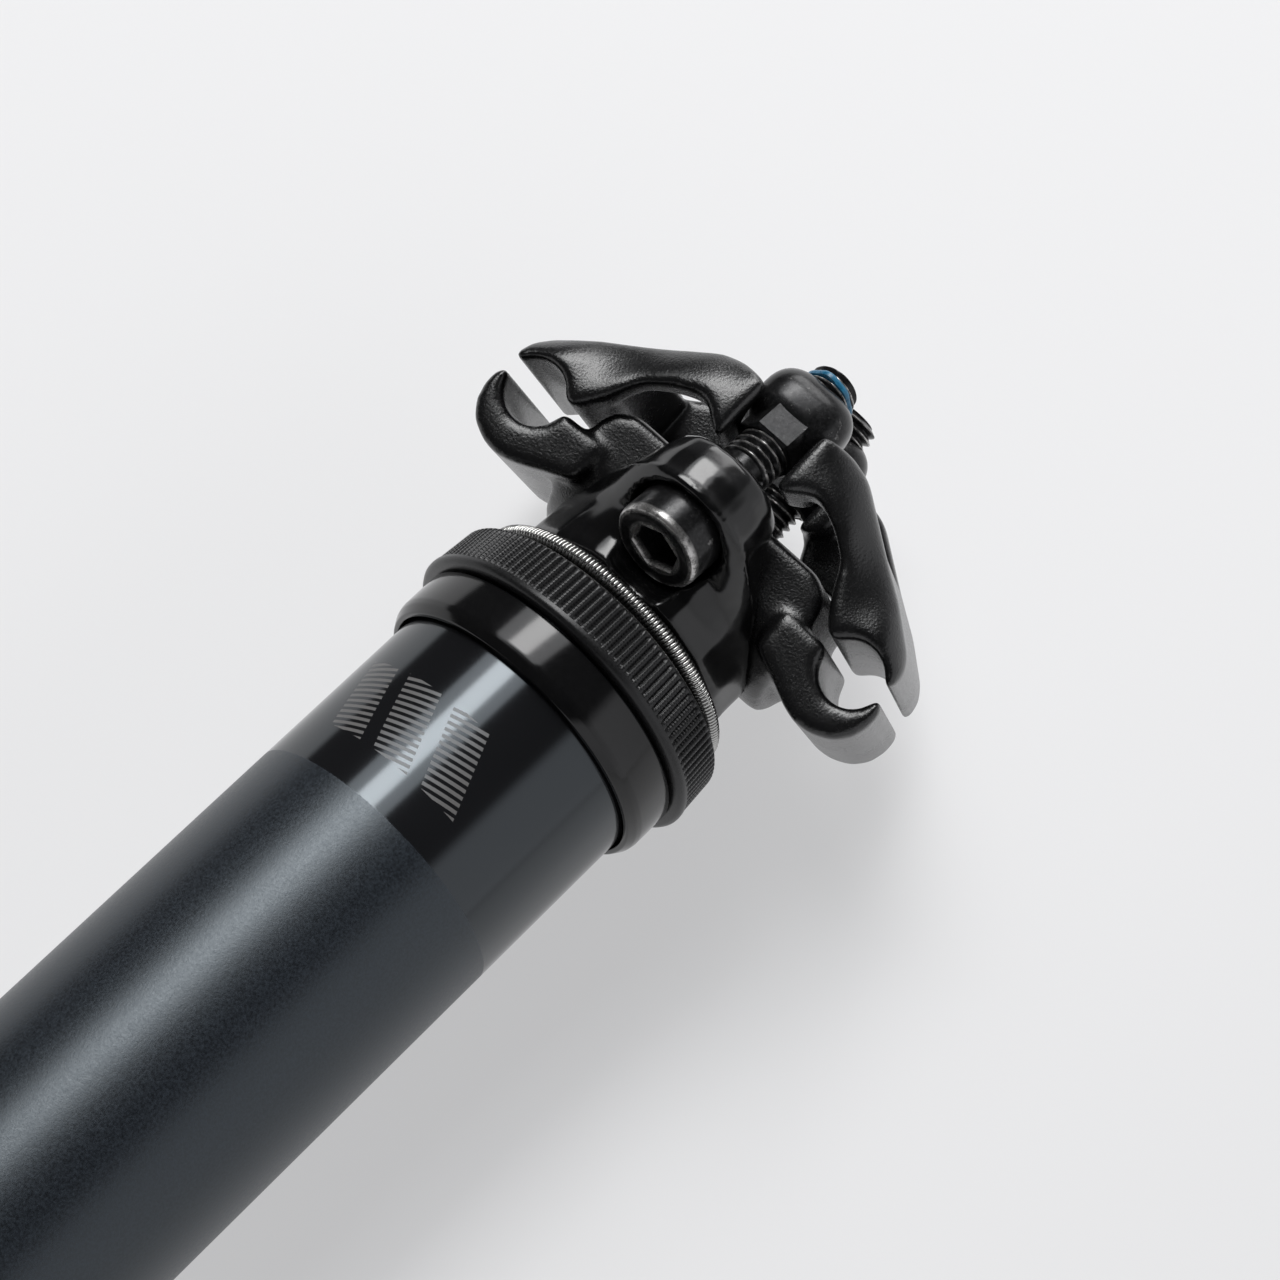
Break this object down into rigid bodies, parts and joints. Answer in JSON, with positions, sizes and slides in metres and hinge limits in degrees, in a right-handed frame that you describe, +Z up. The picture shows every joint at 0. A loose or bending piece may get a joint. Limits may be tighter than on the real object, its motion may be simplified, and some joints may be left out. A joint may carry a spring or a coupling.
{
  "type": "telescoping seatpost with two-bolt saddle clamp",
  "caption": "Black telescoping bicycle seatpost with a knurled seal collar and a tilting two-bolt clamp for round saddle rails, on an internal coil spring and cable lock.",
  "frame": {"origin": "on the axis of the round outer tube, at the top of the length that the seat tube clamp grips", "axes": "+Z up the post to the saddle, -Y to the front of the bicycle, +X sideways across the saddle rails"},
  "size_m": [0.0536, 0.0472, 0.381],
  "materials": {
    "matte_anodised": "matte black anodised, fine sandy texture",
    "gloss_anodised": "glossy black anodised",
    "forged_black": "satin black anodised forging",
    "black_steel": "black oxide, worn bright at the edges",
    "bright_steel": "bright steel",
    "brass": "machined",
    "rubber": "soft seal",
    "polymer": "bearing polymer",
    "bare_aluminium": "machined, bare"
  },
  "bodies": {
    "outer_post": {"outer_tube": "matte_anodised", "collar": "gloss_anodised", "knurled_cap": "gloss_anodised", "wiper_seal": "rubber", "garter_spring": "bright_steel", "foam_ring": "polymer", "bushing_clip": "bright_steel", "upper_bushing": "polymer", "lower_stop_ring": "bright_steel", "bottom_out_bumper": "rubber", "bottom_plug": "bare_aluminium", "plug_seal": "rubber", "guide_tube": "bright_steel", "spring_seat": "polymer", "main_spring": "bright_steel", "lever_bracket": "black_steel", "lever_pin": "bright_steel", "cable_stop": "black_steel"},
    "release_lever": {"release_lever": "black_steel"},
    "lock_rod": {"lock_rod": "bright_steel"},
    "inner_post": {"inner_tube": "gloss_anodised", "seatpost_head": "gloss_anodised", "lower_bushing": "polymer", "key_1": "brass", "key_2": "brass", "key_3": "brass", "top_out_bumper": "rubber", "post_foot": "bare_aluminium", "lock_collet": "bright_steel", "front_washer": "black_steel"},
    "front_bolt": {"front_bolt": "black_steel"},
    "front_nut": {"front_barrel_nut": "black_steel"},
    "rear_bolt_swing": {"rear_washer": "black_steel"},
    "rear_bolt": {"rear_bolt": "black_steel"},
    "rear_nut": {"rear_barrel_nut": "black_steel"},
    "saddle_clamp": {"lower_cradle": "forged_black", "upper_clamp_left": "forged_black", "upper_clamp_right": "forged_black"}
  },
  "joints": [
    {"name": "post_travel", "type": "slide", "parent": "outer_post", "child": "inner_post", "axis": [0, 0, 1], "range_m": [0, 0.1], "deforming": ["main_spring"]},
    {"name": "lock_rod_lift", "type": "slide", "parent": "outer_post", "child": "lock_rod", "axis": [0, 0, 1], "range_m": [0, 0.00105], "stiffness_N_per_m": 2000, "springref_m": -0.001},
    {"name": "release_lever", "type": "hinge", "parent": "outer_post", "child": "release_lever", "pos_m": [0, 0.005, -0.284], "axis": [-1, 0, 0], "range_deg": [0, 12.1]},
    {"name": "cradle_tilt", "type": "hinge", "parent": "inner_post", "child": "saddle_clamp", "pos_m": [0, 0, 0.06], "axis": [1, 0, 0], "range_deg": [-4.5, 4.5]},
    {"name": "front_bolt_turn", "type": "hinge", "parent": "inner_post", "child": "front_bolt", "pos_m": [0, -0.0175, 0.03875], "axis": [0, 0.1447, 0.9895], "continuous": true},
    {"name": "front_nut_travel", "type": "slide", "parent": "inner_post", "child": "front_nut", "axis": [0, 0.1447, 0.9895], "range_m": [-0.00122, 0.00122]},
    {"name": "rear_bolt_swing", "type": "hinge", "parent": "inner_post", "child": "rear_bolt_swing", "pos_m": [0, 0.01569, 0.04551], "axis": [1, 0, 0], "range_deg": [-1.54, 1.54]},
    {"name": "rear_bolt_turn", "type": "hinge", "parent": "rear_bolt_swing", "child": "rear_bolt", "pos_m": [0, 0.0175, 0.03875], "axis": [0, -0.2583, 0.9661], "continuous": true},
    {"name": "rear_nut_travel", "type": "slide", "parent": "rear_bolt_swing", "child": "rear_nut", "axis": [0, -0.2583, 0.9661], "range_m": [-0.001, 0.001]}
  ],
  "couplings": [
    {"joint": "release_lever", "follows": "lock_rod_lift", "rad_per_m": 200},
    {"joint": "front_nut_travel", "follows": "cradle_tilt", "m_per_rad": -0.014241},
    {"joint": "rear_bolt_swing", "follows": "cradle_tilt", "ratio": 0.3204},
    {"joint": "rear_nut_travel", "follows": "cradle_tilt", "m_per_rad": 0.011416}
  ]
}
